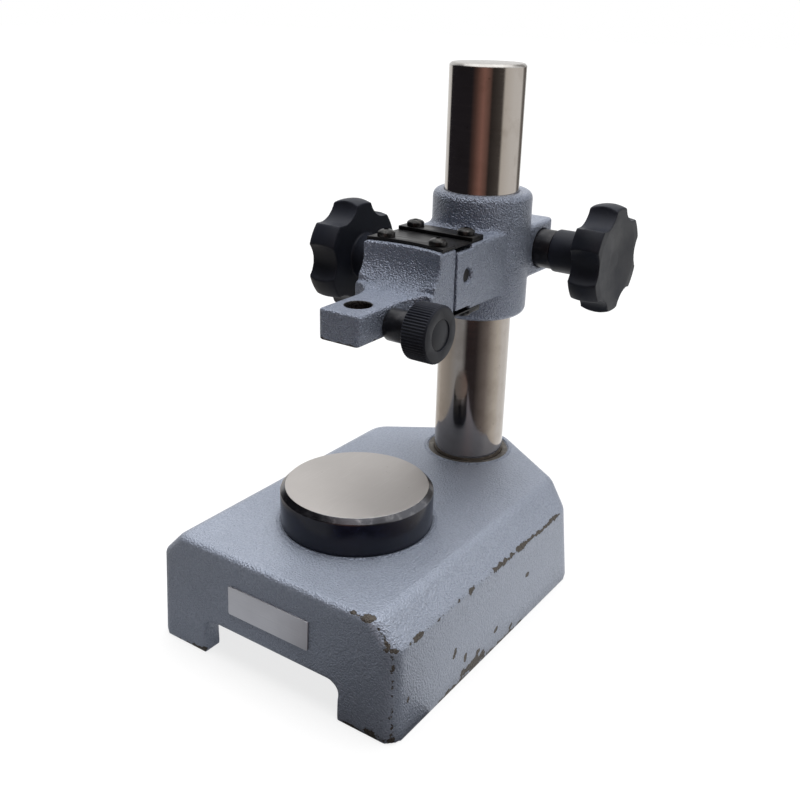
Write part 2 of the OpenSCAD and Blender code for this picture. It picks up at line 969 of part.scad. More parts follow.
module gauge_cotter() {
    color(dark_steel)
        on_column() {
            stem_cotter(gauge_collar_x + over);
            translate([gauge_collar_x, -gauge_at, gauge_z])
                along_x()
                    difference() {
                        cylinder(d = gauge_collar_d, h = gauge_collar_l);
                        translate([0, 0, -over])
                            cylinder(r = gauge_screw_r + running_gap, h = gauge_collar_l + 2 * over);
                    }
        }
}

module gauge_nut() {
    color(dark_steel)
        on_column()
            mirror([1, 0, 0])
                stem_cotter(arm_w / 2);
}

module gauge_screw() {
    color(dark_steel)
        on_column()
            translate([-arm_w / 2 + over, -gauge_at, gauge_z])
                along_x()
                    cylinder(r = gauge_screw_r, h = gauge_knob_x + gauge_knob_t / 2 + arm_w / 2 - over);
}

// Knurled edge of the indicator clamp's knob
module knurl_outline() {
    polygon([for (i = [0:2 * knurl_count - 1])
        let (r = gauge_knob_d / 2 - (i % 2) * knurl_depth)
        [r * cos(i * knurl_step / 2), r * sin(i * knurl_step / 2)]]);
}

module gauge_knob() {
    color(black)
        on_column()
            translate([gauge_knob_x, -gauge_at, gauge_z])
                along_x()
                    difference() {
                        intersection() {
                            linear_extrude(gauge_knob_t)
                                knurl_outline();
                            rotate_extrude()
                                polygon([[0, 0], [gauge_face_r, 0],
                                    [gauge_face_r + 2 * gauge_knob_edge, 2 * gauge_knob_edge],
                                    [gauge_face_r + 2 * gauge_knob_edge, gauge_knob_t - 2 * gauge_knob_edge],
                                    [gauge_face_r, gauge_knob_t], [0, gauge_knob_t]]);
                        }
                        translate([0, 0, -over])
                            cylinder(r = gauge_screw_r, h = gauge_knob_t / 2 + over);
                        translate([0, 0, gauge_knob_t - cap_t - cap_sunk])
                            cylinder(r = cap_r, h = gauge_knob_t);
                    }
}

module gauge_knob_cap() {
    color(black)
        on_column()
            translate([gauge_knob_x + gauge_knob_t - cap_t - cap_sunk, -gauge_at, gauge_z])
                along_x()
                    cylinder(r = cap_r, h = cap_t);
}

base_casting();
name_plate();
anvil();
anvil_screw();
anvil_washer();
column();
column_bolt();
column_washer();
bracket_casting();
left_cotter();
clamp_collar();
clamp_screw();
clamp_knob();
fine_bush();
fine_shaft();
fine_knob();
fine_set_screw();
top_leaf();
bottom_leaf();
bracket_top_strip();
bracket_bottom_strip();
bracket_leaf_screws();
holder_casting();
holder_top_strip();
holder_bottom_strip();
holder_leaf_screws();
gauge_cotter();
gauge_nut();
gauge_screw();
gauge_knob();
gauge_knob_cap();
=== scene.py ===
import math
import bpy
from mathutils import Matrix, Vector


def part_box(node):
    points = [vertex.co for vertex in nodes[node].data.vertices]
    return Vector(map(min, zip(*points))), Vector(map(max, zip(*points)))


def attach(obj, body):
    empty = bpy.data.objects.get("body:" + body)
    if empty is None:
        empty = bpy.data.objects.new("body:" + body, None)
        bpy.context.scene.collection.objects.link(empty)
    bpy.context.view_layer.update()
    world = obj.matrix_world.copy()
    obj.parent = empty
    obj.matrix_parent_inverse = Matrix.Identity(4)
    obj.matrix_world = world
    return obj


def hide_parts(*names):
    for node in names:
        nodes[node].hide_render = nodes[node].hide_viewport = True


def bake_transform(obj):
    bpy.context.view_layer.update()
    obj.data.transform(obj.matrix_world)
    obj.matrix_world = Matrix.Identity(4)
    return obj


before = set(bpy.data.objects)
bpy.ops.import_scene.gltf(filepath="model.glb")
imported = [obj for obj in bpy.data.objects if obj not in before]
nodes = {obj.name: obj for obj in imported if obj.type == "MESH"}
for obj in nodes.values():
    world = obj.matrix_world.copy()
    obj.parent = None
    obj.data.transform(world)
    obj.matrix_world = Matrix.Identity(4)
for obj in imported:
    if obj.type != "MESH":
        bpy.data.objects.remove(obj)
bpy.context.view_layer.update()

# Sizes of the stand in millimetres, as the solids have them
BASE_TOP = 45.0
ANVIL_TOP = 60.0
ANVIL_R = 29.0
COLUMN_R = 15.0
COLUMN_Y = 82.0
COLUMN_TOP = 207.5
COLUMN_FOOT = 22.3
SOCKET_R = 17.8
STEM_R = 4.77
LEAF_SCREW_X = 11.5
BRACKET_SCREW_Y = 52.0
HOLDER_SCREW_Y = 32.4
LEAF_HEAD_R = 3.4
LEAF_HEAD_H = 2.6
LEAF_HEAD_SIDE = 1.1
LEAF_SHANK_R = 1.5
LEAF_SHANK_L = 7.0
LEAF_KEY_R = 1.1
LEAF_KEY_DEPTH = 1.3
LEAF_FREE_BACK = 48.0
LEAF_FREE_FRONT = 36.4
LEAF_CUTS = 9

# How the meshes are made: merging distance and edge breaks in millimetres, and angles
MERGE = 0.001
SCREW_EDGE = 0.4
FLAT_ANGLE = math.radians(0.5)
BREAK_ANGLE = math.radians(40)
SMOOTH_ANGLE = math.radians(35)
RING_SMOOTH_ANGLE = math.radians(50)
TURNED_SEGMENTS = 160
RING_SEGMENTS = 128
SCREW_SEGMENTS = 48

# Camera of the photograph: focal length and picture width in pixels, place in metres, turns
FOCAL_PX = 970.98
PICTURE_PX = 800.0
SENSOR_MM = 36.0
CAMERA_AT = (0.19702, -0.26117, 0.22897)
AZIMUTH, ELEVATION, ROLL = math.radians(34.33), math.radians(22.41), math.radians(1.38)


def mm(value):
    """Millimetres to Blender's metres."""
    return value / 1000.0


def rgb(code):
    """Linear colour of an sRGB hex code."""
    parts = [int(code[i:i + 2], 16) / 255.0 for i in (1, 3, 5)]
    return [c / 12.92 if c <= 0.04045 else ((c + 0.055) / 1.055) ** 2.4 for c in parts] + [1.0]


def add(tree, kind, inputs=None, **settings):
    """Adds a node with its settings. An input is a value or another node's output."""
    node = tree.nodes.new(kind)
    for name, value in settings.items():
        setattr(node, name, value)
    for name, value in (inputs or {}).items():
        if isinstance(value, bpy.types.NodeSocket):
            tree.links.new(value, node.inputs[name])
        else:
            node.inputs[name].default_value = value
    return node


def new_material(name):
    """An empty material and its node tree."""
    material = bpy.data.materials.new(name)
    material.use_nodes = True
    material.node_tree.nodes.clear()
    return material, material.node_tree


def finish_material(tree, shader):
    add(tree, "ShaderNodeOutputMaterial", {"Surface": shader.outputs[0]})


def deselect_all():
    if bpy.context.object and bpy.context.object.mode != "OBJECT":
        bpy.ops.object.mode_set(mode="OBJECT")
    bpy.ops.object.select_all(action="DESELECT")


def select_only(piece):
    """Object mode, with one object selected and active."""
    deselect_all()
    piece.select_set(True)
    bpy.context.view_layer.objects.active = piece


def dress(piece, *materials):
    """Gives a piece its materials in slot order."""
    piece.data.materials.clear()
    for material in materials:
        piece.data.materials.append(material)


def stand_for(piece, body, slot, *replaced):
    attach(piece, body)
    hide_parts(*replaced)


# Hammered stove enamel with aluminium flake: a blue-grey skin of glinting bumps, chipped to dark iron on
# its edges
def hammered_enamel(name, dark, light, flake, gloss, depth, worn_edges, bore, bore_radius, bore_floor):
    material, tree = new_material(name)
    place = add(tree, "ShaderNodeTexCoord").outputs["Object"]
    # bumps 0.7 mm across, waves 6 mm long, clouds 40 mm across
    bumps = add(tree, "ShaderNodeTexNoise", {"Vector": place, "Scale": 1450.0, "Detail": 1.5,
                                             "Roughness": 0.5})
    waves = add(tree, "ShaderNodeTexNoise", {"Vector": place, "Scale": 170.0, "Detail": 2.0})
    clouds = add(tree, "ShaderNodeTexNoise", {"Vector": place, "Scale": 25.0, "Detail": 3.0})
    peaks = add(tree, "ShaderNodeMapRange", {"Value": bumps.outputs["Fac"], "From Min": 0.36,
                                             "From Max": 0.66})
    speckled = add(tree, "ShaderNodeMix", {"Factor": peaks.outputs["Result"], "A": rgb(dark),
                                           "B": rgb(light)}, data_type="RGBA")
    cloudy = add(tree, "ShaderNodeMapRange", {"Value": clouds.outputs["Fac"], "From Min": 0.4,
                                              "From Max": 0.7, "To Min": 0.0, "To Max": 0.2})
    paint = add(tree, "ShaderNodeMix", {"Factor": cloudy.outputs["Result"],
                                        "A": speckled.outputs["Result"],
                                        "B": rgb("#7F8694")}, data_type="RGBA")
    # chips 1 to 3 mm across gather along the knocked edges, each given by its ends and its reach
    wear = None
    for start, end, reach, strength in worn_edges:
        first = Vector([mm(c) for c in start])
        along = Vector([mm(c) for c in end]) - first
        offset = add(tree, "ShaderNodeVectorMath", {0: place, 1: first}, operation="SUBTRACT")
        share = add(tree, "ShaderNodeVectorMath", {0: offset.outputs[0], 1: along / along.length_squared},
                    operation="DOT_PRODUCT")
        share = add(tree, "ShaderNodeClamp", {"Value": share.outputs["Value"]})
        foot = add(tree, "ShaderNodeVectorMath", {0: along, "Scale": share.outputs[0]},
                   operation="SCALE")
        away = add(tree, "ShaderNodeVectorMath", {0: offset.outputs[0], 1: foot.outputs[0]},
                   operation="DISTANCE")
        near = add(tree, "ShaderNodeMapRange", {"Value": away.outputs["Value"], "From Min": mm(reach),
                                                "From Max": 0.0, "To Min": 0.0, "To Max": strength})
        if wear is None:
            wear = near.outputs["Result"]
        else:
            wear = add(tree, "ShaderNodeMath", {0: wear, 1: near.outputs["Result"]},
                       operation="MAXIMUM").outputs[0]
    chips = add(tree, "ShaderNodeTexNoise", {"Vector": place, "Scale": 330.0, "Detail": 5.0,
                                             "Roughness": 0.62})
    level = add(tree, "ShaderNodeMath", {0: chips.outputs["Fac"], 1: wear}, operation="ADD")
    bare = add(tree, "ShaderNodeMapRange", {"Value": level.outputs[0], "From Min": 0.79,
                                            "From Max": 0.82}).outputs["Result"]
    # the bore that was machined through the enamel is oily bare iron, and its near black is also painted
    # shade, most of all inside the holder's stem hole
    apart = add(tree, "ShaderNodeSeparateXYZ", {"Vector": place})
    flat = add(tree, "ShaderNodeCombineXYZ", {"X": apart.outputs["X"], "Y": apart.outputs["Y"], "Z": 0.0})
    away = add(tree, "ShaderNodeVectorMath", {0: flat.outputs[0], 1: [mm(c) for c in bore]},
               operation="DISTANCE")
    inside = add(tree, "ShaderNodeMapRange", {"Value": away.outputs["Value"], "From Min": mm(bore_radius),
                                              "From Max": mm(bore_radius - 0.3)})
    high = add(tree, "ShaderNodeMath", {0: apart.outputs["Z"], 1: mm(bore_floor)}, operation="GREATER_THAN")
    bore_iron_and_shade = add(tree, "ShaderNodeMath", {0: inside.outputs["Result"], 1: high.outputs[0]},
               operation="MULTIPLY")
    iron = add(tree, "ShaderNodeMix", {"Factor": bumps.outputs["Fac"], "A": rgb("#34302C"),
                                       "B": rgb("#6B655E")}, data_type="RGBA")
    chipped = add(tree, "ShaderNodeMix", {"Factor": bare, "A": paint.outputs["Result"],
                                          "B": iron.outputs["Result"]}, data_type="RGBA")
    # near black of the bore: bare iron, and painted shade down the stem hole
    colour = add(tree, "ShaderNodeMix", {"Factor": bore_iron_and_shade.outputs[0], "A": chipped.outputs["Result"],
                                         "B": rgb("#1C1917")}, data_type="RGBA")
    rough = add(tree, "ShaderNodeMapRange", {"Value": bare, "To Min": gloss, "To Max": 0.6})
    skin = add(tree, "ShaderNodeMath", {0: waves.outputs["Fac"], 1: 0.5, 2: bumps.outputs["Fac"]},
               operation="MULTIPLY_ADD")
    height = add(tree, "ShaderNodeMath", {0: skin.outputs[0], 1: bare}, operation="SUBTRACT")
    relief = add(tree, "ShaderNodeBump", {"Height": height.outputs[0], "Strength": 1.0,
                                           "Distance": mm(depth)})
    shader = add(tree, "ShaderNodeBsdfPrincipled", {"Base Color": colour.outputs["Result"], "IOR": 1.5,
                                                    "Metallic": flake, "Roughness": rough.outputs["Result"],
                                                    "Normal": relief.outputs["Normal"]})
    finish_material(tree, shader)
    return material


# Brushed aluminium sheet: fine lines along its length and a soft sheen
def brushed_aluminium():
    material, tree = new_material("brushed_aluminium")
    place = add(tree, "ShaderNodeTexCoord").outputs["Object"]
    # lines 0.3 mm apart, coarser than real ones so that they show, and smudges 8 mm across
    stretched = add(tree, "ShaderNodeMapping", {"Vector": place, "Scale": (60.0, 3300.0, 3300.0)})
    lines = add(tree, "ShaderNodeTexNoise", {"Vector": stretched.outputs[0], "Scale": 1.0, "Detail": 2.0})
    smudges = add(tree, "ShaderNodeTexNoise", {"Vector": place, "Scale": 120.0, "Detail": 3.0})
    bright = add(tree, "ShaderNodeMix", {"Factor": lines.outputs["Fac"], "A": rgb("#D2D2D6"),
                                         "B": rgb("#E4E4E7")}, data_type="RGBA")
    dull = add(tree, "ShaderNodeMapRange", {"Value": smudges.outputs["Fac"], "From Min": 0.45,
                                            "From Max": 0.75, "To Min": 0.0, "To Max": 0.25})
    tone = add(tree, "ShaderNodeMix", {"Factor": dull.outputs["Result"], "A": bright.outputs["Result"],
                                       "B": rgb("#C2C2C6")}, data_type="RGBA")
    rough = add(tree, "ShaderNodeMapRange", {"Value": lines.outputs["Fac"], "To Min": 0.36, "To Max": 0.5})
    shader = add(tree, "ShaderNodeBsdfPrincipled", {"Base Color": tone.outputs["Result"], "Metallic": 1.0,
                                                    "Roughness": rough.outputs["Result"]})
    finish_material(tree, shader)
    return material


# Lapped hardened steel: matt, even and slightly warm, with small stain specks and faint scratches
def lapped_steel():
    material, tree = new_material("lapped_steel")
    place = add(tree, "ShaderNodeTexCoord").outputs["Object"]
    # specks up to 1 mm across, clouds 22 mm across, scratches 0.3 mm wide and 15 mm long
    specks = add(tree, "ShaderNodeTexNoise", {"Vector": place, "Scale": 520.0, "Detail": 4.0,
                                              "Roughness": 0.7})
    clouds = add(tree, "ShaderNodeTexNoise", {"Vector": place, "Scale": 45.0, "Detail": 4.0})
    turned_place = add(tree, "ShaderNodeMapping", {"Vector": place, "Rotation": (0.0, 0.0, 0.6),
                                                   "Scale": (3000.0, 65.0, 1.0)})
    scratches = add(tree, "ShaderNodeTexNoise", {"Vector": turned_place.outputs[0], "Scale": 1.0,
                                                 "Detail": 1.0})
    stain = add(tree, "ShaderNodeMapRange", {"Value": specks.outputs["Fac"], "From Min": 0.69,
                                             "From Max": 0.75, "To Min": 0.0, "To Max": 0.6})
    steel = add(tree, "ShaderNodeMix", {"Factor": clouds.outputs["Fac"], "A": rgb("#C0BCB9"),
                                        "B": rgb("#CDC9C6")}, data_type="RGBA")
    colour = add(tree, "ShaderNodeMix", {"Factor": stain.outputs["Result"], "A": steel.outputs["Result"],
                                         "B": rgb("#6A5F55")}, data_type="RGBA")
    scored = add(tree, "ShaderNodeMapRange", {"Value": scratches.outputs["Fac"], "From Min": 0.62,
                                              "From Max": 0.7, "To Min": 0.55, "To Max": 0.4})
    shader = add(tree, "ShaderNodeBsdfPrincipled", {"Base Color": colour.outputs["Result"], "Metallic": 1.0,
                                                    "Roughness": scored.outputs["Result"]})
    finish_material(tree, shader)
    return material


# Ground and polished steel: near mirror, with fine rings round the column and brown handling stains
def polished_steel():
    material, tree = new_material("polished_steel")
    place = add(tree, "ShaderNodeTexCoord").outputs["Object"]
    # grinding rings 0.4 mm apart, stains 12 mm across, rust specks 0.8 mm across
    rings_at = add(tree, "ShaderNodeMapping", {"Vector": place, "Scale": (40.0, 40.0, 2500.0)})
    rings = add(tree, "ShaderNodeTexNoise", {"Vector": rings_at.outputs[0], "Scale": 1.0, "Detail": 2.0})
    stains = add(tree, "ShaderNodeTexNoise", {"Vector": place, "Scale": 85.0, "Detail": 5.0,
                                              "Roughness": 0.6})
    specks = add(tree, "ShaderNodeTexNoise", {"Vector": place, "Scale": 600.0, "Detail": 3.0,
                                              "Roughness": 0.6})
    stained = add(tree, "ShaderNodeMapRange", {"Value": stains.outputs["Fac"], "From Min": 0.5,
                                               "From Max": 0.72, "To Min": 0.0, "To Max": 0.45})
    steel = add(tree, "ShaderNodeMix", {"Factor": stained.outputs["Result"], "A": rgb("#ADA69F"),
                                        "B": rgb("#8D837A")}, data_type="RGBA")
    rusty = add(tree, "ShaderNodeMapRange", {"Value": specks.outputs["Fac"], "From Min": 0.7,
                                             "From Max": 0.76, "To Min": 0.0, "To Max": 0.5})
    colour = add(tree, "ShaderNodeMix", {"Factor": rusty.outputs["Result"], "A": steel.outputs["Result"],
                                         "B": rgb("#5C4C40")}, data_type="RGBA")
    rough = add(tree, "ShaderNodeMapRange", {"Value": rings.outputs["Fac"], "From Min": 0.3, "From Max": 0.7,
                                             "To Min": 0.08, "To Max": 0.16})
    shader = add(tree, "ShaderNodeBsdfPrincipled", {"Base Color": colour.outputs["Result"], "Metallic": 1.0,
                                                    "Roughness": rough.outputs["Result"]})
    finish_material(tree, shader)
    return material


# Rubbed metal: an even skin with a low sheen and fine tool marks, rubbed to a second tone in small patches
def rubbed_metal(name, dark, bright, roughness, metallic):
    material, tree = new_material(name)
    place = add(tree, "ShaderNodeTexCoord").outputs["Object"]
    # rubbed patches 3 mm across, tool marks 0.5 mm apart
    rubbed = add(tree, "ShaderNodeTexNoise", {"Vector": place, "Scale": 330.0, "Detail": 4.0,
                                              "Roughness": 0.65})
    marks = add(tree, "ShaderNodeTexNoise", {"Vector": place, "Scale": 2000.0, "Detail": 1.0})
    share = add(tree, "ShaderNodeMapRange", {"Value": rubbed.outputs["Fac"], "From Min": 0.5,
                                             "From Max": 0.75})
    colour = add(tree, "ShaderNodeMix", {"Factor": share.outputs["Result"], "A": rgb(dark), "B": rgb(bright)},
                 data_type="RGBA")
    rough = add(tree, "ShaderNodeMapRange", {"Value": rubbed.outputs["Fac"], "To Min": roughness - 0.08,
                                             "To Max": roughness + 0.08})
    relief = add(tree, "ShaderNodeBump", {"Height": marks.outputs["Fac"], "Strength": 0.3,
                                           "Distance": mm(0.02)})
    shader = add(tree, "ShaderNodeBsdfPrincipled", {"Base Color": colour.outputs["Result"],
                                                    "Metallic": metallic,
                                                    "Roughness": rough.outputs["Result"],
                                                    "Normal": relief.outputs["Normal"]})
    finish_material(tree, shader)
    return material


# Black phenolic moulding: semi-gloss, slightly pebbled skin, greyed by dust and hand wear
def black_phenolic():
    material, tree = new_material("black_phenolic")
    place = add(tree, "ShaderNodeTexCoord").outputs["Object"]
    # skin 0.6 mm, wear 12 mm, dust specks 0.7 mm
    skin = add(tree, "ShaderNodeTexNoise", {"Vector": place, "Scale": 1600.0, "Detail": 2.0})
    worn = add(tree, "ShaderNodeTexNoise", {"Vector": place, "Scale": 80.0, "Detail": 4.0, "Roughness": 0.6})
    dust = add(tree, "ShaderNodeTexNoise", {"Vector": place, "Scale": 900.0, "Detail": 3.0, "Roughness": 0.7})
    black = add(tree, "ShaderNodeMix", {"Factor": worn.outputs["Fac"], "A": rgb("#12141A"),
                                        "B": rgb("#232630")}, data_type="RGBA")
    dusty = add(tree, "ShaderNodeMapRange", {"Value": dust.outputs["Fac"], "From Min": 0.68, "From Max": 0.76,
                                             "To Min": 0.0, "To Max": 0.35})
    colour = add(tree, "ShaderNodeMix", {"Factor": dusty.outputs["Result"], "A": black.outputs["Result"],
                                         "B": rgb("#55565A")}, data_type="RGBA")
    rough = add(tree, "ShaderNodeMapRange", {"Value": worn.outputs["Fac"], "From Min": 0.3, "From Max": 0.7,
                                             "To Min": 0.4, "To Max": 0.55})
    relief = add(tree, "ShaderNodeBump", {"Height": skin.outputs["Fac"], "Strength": 0.25,
                                           "Distance": mm(0.03)})
    shader = add(tree, "ShaderNodeBsdfPrincipled", {"Base Color": colour.outputs["Result"], "IOR": 1.55,
                                                    "Specular IOR Level": 0.2,
                                                    "Roughness": rough.outputs["Result"],
                                                    "Normal": relief.outputs["Normal"]})
    finish_material(tree, shader)
    return material


# Sintered bronze of the shaft's bush: dull yellow-brown with open pores
def bush_bronze():
    material, tree = new_material("bush_bronze")
    place = add(tree, "ShaderNodeTexCoord").outputs["Object"]
    # pores 0.5 mm
    pores = add(tree, "ShaderNodeTexNoise", {"Vector": place, "Scale": 2000.0, "Detail": 2.0})
    colour = add(tree, "ShaderNodeMix", {"Factor": pores.outputs["Fac"], "A": rgb("#7A5A34"),
                                         "B": rgb("#B08B55")}, data_type="RGBA")
    relief = add(tree, "ShaderNodeBump", {"Height": pores.outputs["Fac"], "Strength": 0.4,
                                           "Distance": mm(0.05)})
    shader = add(tree, "ShaderNodeBsdfPrincipled", {"Base Color": colour.outputs["Result"], "Metallic": 1.0,
                                                    "Roughness": 0.42, "Normal": relief.outputs["Normal"]})
    finish_material(tree, shader)
    return material


def merged_copy(node, name):
    """A copy of a node's solid with its loose triangles merged, free of the frame."""
    select_only(nodes[node])
    bpy.ops.object.duplicate(linked=False)
    piece = bpy.context.object
    piece.name = name
    piece.parent = None
    for key in list(piece.keys()):
        del piece[key]
    bpy.ops.object.mode_set(mode="EDIT")
    bpy.ops.mesh.select_all(action="SELECT")
    bpy.ops.mesh.remove_doubles(threshold=mm(MERGE))
    bpy.ops.object.mode_set(mode="OBJECT")
    return piece


def moulded(node, name, voxel, passes):
    """A casting or moulding with the soft edges and fillets of its mould."""
    piece = merged_copy(node, name)
    skin = piece.modifiers.new("mould_skin", "REMESH")
    skin.mode = "VOXEL"
    skin.voxel_size = mm(voxel)
    bpy.ops.object.modifier_apply(modifier=skin.name)
    soft = piece.modifiers.new("soft_edges", "SMOOTH")
    soft.factor = 0.5
    soft.iterations = passes
    bpy.ops.object.modifier_apply(modifier=soft.name)
    bpy.ops.object.shade_smooth()
    return piece


def machined(node, name, break_width):
    """A machined piece with its sharp edges broken."""
    piece = merged_copy(node, name)
    bpy.ops.object.mode_set(mode="EDIT")
    bpy.ops.mesh.select_all(action="SELECT")
    bpy.ops.mesh.dissolve_limited(angle_limit=FLAT_ANGLE)
    bpy.ops.object.mode_set(mode="OBJECT")
    broken = piece.modifiers.new("broken_edges", "BEVEL")
    broken.width = mm(break_width)
    broken.segments = 2
    broken.limit_method = "ANGLE"
    broken.angle_limit = BREAK_ANGLE
    broken.harden_normals = False
    bpy.ops.object.modifier_apply(modifier=broken.name)
    bpy.ops.object.shade_smooth_by_angle(angle=SMOOTH_ANGLE)
    return piece


def draw_out(rings, centre):
    """Extrudes the selected loop from each ring (radius, height) to the next, about an axis at y = centre."""
    for (radius, height), (next_radius, next_height) in zip(rings, rings[1:]):
        bpy.ops.mesh.extrude_region_move(TRANSFORM_OT_translate={"value": (0, 0, mm(next_height - height))})
        share = next_radius / radius
        bpy.ops.transform.resize(value=(share, share, 1), center_override=(0, mm(centre), mm(next_height)))


def turned(name, rings, segments):
    """A piece turned about z: a disc is extruded and resized from each ring (radius, height) to the next."""
    deselect_all()
    radius, height = rings[0]
    bpy.ops.mesh.primitive_circle_add(vertices=segments, radius=mm(radius), fill_type="NGON",
                                      location=(0, 0, mm(height)))
    piece = bpy.context.object
    piece.name = name
    bpy.ops.object.transform_apply()
    bpy.ops.object.mode_set(mode="EDIT")
    bpy.ops.mesh.select_all(action="SELECT")
    draw_out(rings, 0)
    bpy.ops.mesh.select_all(action="SELECT")
    bpy.ops.mesh.normals_make_consistent(inside=False)
    bpy.ops.object.mode_set(mode="OBJECT")
    return piece


def ring(name, profile, centre):
    """A ring about an upright axis at y = centre: a loop is extruded round its (radius, height) outline."""
    deselect_all()
    radius, height = profile[0]
    bpy.ops.mesh.primitive_circle_add(vertices=RING_SEGMENTS, radius=mm(radius), fill_type="NOTHING",
                                      location=(0, mm(centre), mm(height)))
    piece = bpy.context.object
    piece.name = name
    bpy.ops.object.transform_apply()
    bpy.ops.object.mode_set(mode="EDIT")
    bpy.ops.mesh.select_all(action="SELECT")
    draw_out(profile + profile[:1], centre)
    bpy.ops.mesh.select_all(action="SELECT")
    bpy.ops.mesh.remove_doubles(threshold=mm(MERGE))
    bpy.ops.mesh.normals_make_consistent(inside=False)
    bpy.ops.object.mode_set(mode="OBJECT")
    bpy.ops.object.shade_smooth_by_angle(angle=RING_SMOOTH_ANGLE)
    return piece


def settle(piece, place, turn=(0, 0, 0)):
    """Moves a piece to its place and leaves its object at the origin."""
    select_only(piece)
    piece.rotation_euler = turn
    piece.location = [mm(c) for c in place]
    bpy.ops.object.transform_apply(location=True, rotation=True, scale=True)
    bpy.ops.object.shade_smooth_by_angle(angle=SMOOTH_ANGLE)


def button_screw():
    """Leaf screw with its seat at z = 0: a domed head with a hexagon socket, and the shank below."""
    crown = LEAF_HEAD_H - LEAF_HEAD_SIDE
    dome = [(LEAF_HEAD_R * math.cos(math.radians(a)), LEAF_HEAD_SIDE + crown * math.sin(math.radians(a)))
            for a in range(0, 70, 10)]
    rings = [(LEAF_SHANK_R - SCREW_EDGE, -LEAF_SHANK_L), (LEAF_SHANK_R, SCREW_EDGE - LEAF_SHANK_L),
             (LEAF_SHANK_R, 0.0),
             (LEAF_HEAD_R - 0.2, 0.0), (LEAF_HEAD_R, 0.2)] + dome + [(0.9, LEAF_HEAD_H)]
    screw = turned("button_screw", rings, SCREW_SEGMENTS)
    deselect_all()
    bpy.ops.mesh.primitive_cylinder_add(vertices=6, radius=mm(LEAF_KEY_R), depth=mm(2 * LEAF_KEY_DEPTH),
                                        location=(0, 0, mm(LEAF_HEAD_H)))
    key = bpy.context.object
    select_only(screw)
    socket = screw.modifiers.new("socket", "BOOLEAN")
    socket.operation = "DIFFERENCE"
    socket.solver = "EXACT"
    socket.object = key
    bpy.ops.object.modifier_apply(modifier=socket.name)
    bpy.data.objects.remove(key)
    return screw


def screw_row(name, seats):
    """Copies of the leaf screw on their seats (place, upside down or not), joined into one piece."""
    row = []
    for place, flipped in seats:
        select_only(leaf_screw)
        bpy.ops.object.duplicate(linked=False)
        screw = bpy.context.object
        settle(screw, place, (math.pi if flipped else 0, 0, 0))
        row.append(screw)
    deselect_all()
    for screw in row:
        screw.select_set(True)
    bpy.context.view_layer.objects.active = row[0]
    bpy.ops.object.join()
    row[0].name = name
    return row[0]


enamel_base = hammered_enamel("hammered_enamel_base", "#9199A9", "#A4ABBA", 0.35, 0.36, 0.5, [
    # right shoulder, and the side and foot below it
    ((54, 13, 35.5), (54, 40, 35.4), 2.5, 0.42), ((54, 40, 35.4), (54, 66, 35.3), 2.1, 0.42),
    ((54, -42, 35.5), (54, 13, 35.5), 1.8, 0.26),
    ((54, -4, 35.5), (54, -2, 35.5), 2.4, 0.55), ((54, -39, 35.4), (54, -36, 35.4), 2.6, 0.6),
    ((54.2, 39, 20.3), (54.2, 40, 20.3), 1.8, 0.6), ((54.6, -15, 14), (54.6, -14, 16), 1.7, 0.6),
    ((54.6, -7, 8), (54.6, -6.4, 10), 1.8, 0.6), ((54.7, 2, 6.4), (54.7, 3, 6.4), 1.7, 0.6),
    ((54.7, 15, 7.9), (54.7, 16, 8.4), 1.8, 0.6), ((54.8, 27, 3), (54.8, 28, 3.4), 2.0, 0.6),
    ((54.8, -9, 3), (54.8, 6, 2.6), 3.6, 0.52), ((54.8, -26, 0.6), (54.8, 36, 0.6), 2.6, 0.42),
    # front right corner, down to the foot
    ((28, -50.4, 44.8), (40, -50.2, 44.8), 1.9, 0.42), ((40, -49.8, 44.5), (43.4, -48.6, 44.1), 2.6, 0.5),
    ((43.4, -48.6, 44.1), (52, -50, 36), 2.2, 0.33), ((50.6, -50.8, 36), (53.4, -48.4, 35.8), 2.2, 0.46),
    ((52.6, -50.2, 36), (52.8, -50.4, 28), 2.0, 0.42), ((54, -44, 13.6), (54, -43.6, 15), 1.7, 0.6),
    ((52.8, -50.4, 28), (53, -50.7, 4), 1.9, 0.34), ((44, -52.2, 1.4), (53, -50.6, 1.4), 3.2, 0.54),
    ((34, -52.4, 0.6), (44, -52.4, 0.6), 2.2, 0.44),
    # left foot, left shoulder and rear
    ((-38, -52.3, 0.8), (-32.5, -52.4, 0.8), 2.6, 0.5), ((-53, -50.8, 0.8), (-38, -52.3, 0.8), 2.0, 0.42),
    ((-54, -44, 35.4), (-54, 66, 35.4), 2.0, 0.22), ((-54.8, -40, 0.6), (-54.8, 60, 0.6), 2.4, 0.34),
    ((-20, 105.2, 0.6), (20, 105.2, 0.6), 2.6, 0.4), ((-16, 102.4, 44.5), (16, 102.4, 44.5), 1.8, 0.34)],
    (0, COLUMN_Y, 0), SOCKET_R - 0.2, BASE_TOP - 1.5)
# the bracket, the holder and the paint beads carry the base's enamel with darker colours, a painted shade,
# and with more flake, a glossier skin and deeper relief
enamel_darker_shade = hammered_enamel("hammered_enamel_darker_shade", "#868E9F", "#9CA3B3", 0.5, 0.3, 0.9, [
    ((-9, -11.6, 118.6), (9, -11.6, 118.6), 1.9, 0.46), ((8.9, -11, 118.6), (8.9, 2, 118.6), 1.8, 0.4),
    ((17.4, 21, 118.5), (17.4, 36, 119), 1.6, 0.38), ((-17.4, 21, 118.5), (-17.4, 36, 119), 1.6, 0.38)],
    (0, 0, 0), STEM_R + 0.6, 0)
plate_metal = brushed_aluminium()
lapped = lapped_steel()
polished = polished_steel()
# pale turned end of the column
faced = rubbed_metal("faced_column_end", "#B4B1AD", "#C6C4C1", 0.34, 1.0)
# blue-black collars, cotters and bolts
oxide = rubbed_metal("black_oxide_steel", "#191A1F", "#363538", 0.34, 0.4)
